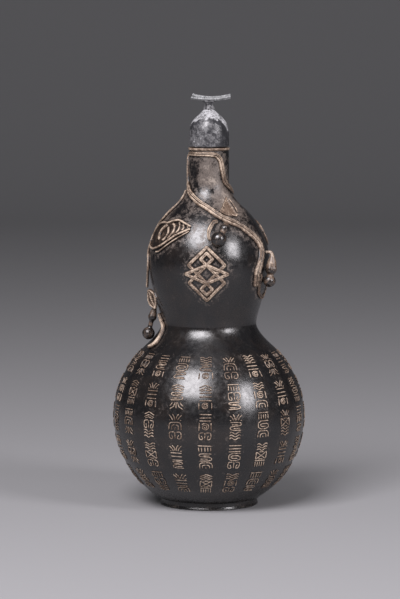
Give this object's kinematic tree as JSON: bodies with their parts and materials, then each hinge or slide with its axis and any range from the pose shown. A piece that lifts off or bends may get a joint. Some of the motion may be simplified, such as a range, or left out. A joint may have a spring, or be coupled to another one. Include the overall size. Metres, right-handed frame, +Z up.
{
  "type": "gourd-shaped bottle",
  "caption": "Double-gourd bronze bottle on a foot ring, with a lift-off domed lid, a cross-bar finial, and applied vines, leaves and hanging gourds.",
  "frame": {"origin": "on the axis, at the underside of the foot ring", "axes": "+Z up through the mouth and the lid, -Y towards the side with the front emblem, +X to that side's right"},
  "size_m": [0.1106, 0.1106, 0.2388],
  "materials": {
    "dark_bronze": "dark brown-black waxed bronze with a soft shine",
    "worn_bronze": "brown bronze, rubbed on its high places",
    "tan_patina": "matt tan patina lying in the relief, dark on its ridges",
    "lid_bronze": "grey-black bronze with pale crust on the shoulder",
    "pale_metal": "pale grey rubbed metal"
  },
  "bodies": {
    "vessel": {"lower_bulb": "dark_bronze", "upper_bulb": "dark_bronze", "waist_sleeve": "worn_bronze", "foot_ring": "dark_bronze", "base_plate": "worn_bronze", "mouth_ring": "tan_patina", "vine_front": "tan_patina", "vine_back": "tan_patina", "vine_left": "tan_patina", "tendril_front": "tan_patina", "tendril_back": "tan_patina", "tendril_right": "tan_patina", "tendril_left": "tan_patina", "leaf_front": "tan_patina", "leaf_back": "tan_patina", "scroll_leaf_left": "tan_patina", "scroll_leaf_right": "tan_patina", "leaf_left": "tan_patina", "gourd_front": "worn_bronze", "gourd_back": "worn_bronze", "gourd_right": "worn_bronze", "gourd_left": "worn_bronze", "emblem_front": "tan_patina", "emblem_back": "tan_patina"},
    "lid": {"lid_plug": "worn_bronze", "lid_dome": "lid_bronze", "lid_stalk": "lid_bronze", "lid_bar": "pale_metal"}
  },
  "joints": [
    {"name": "lid_lift", "type": "slide", "parent": "vessel", "child": "lid", "axis": [0, 0, 1], "range_m": [0, 0.03]}
  ]
}
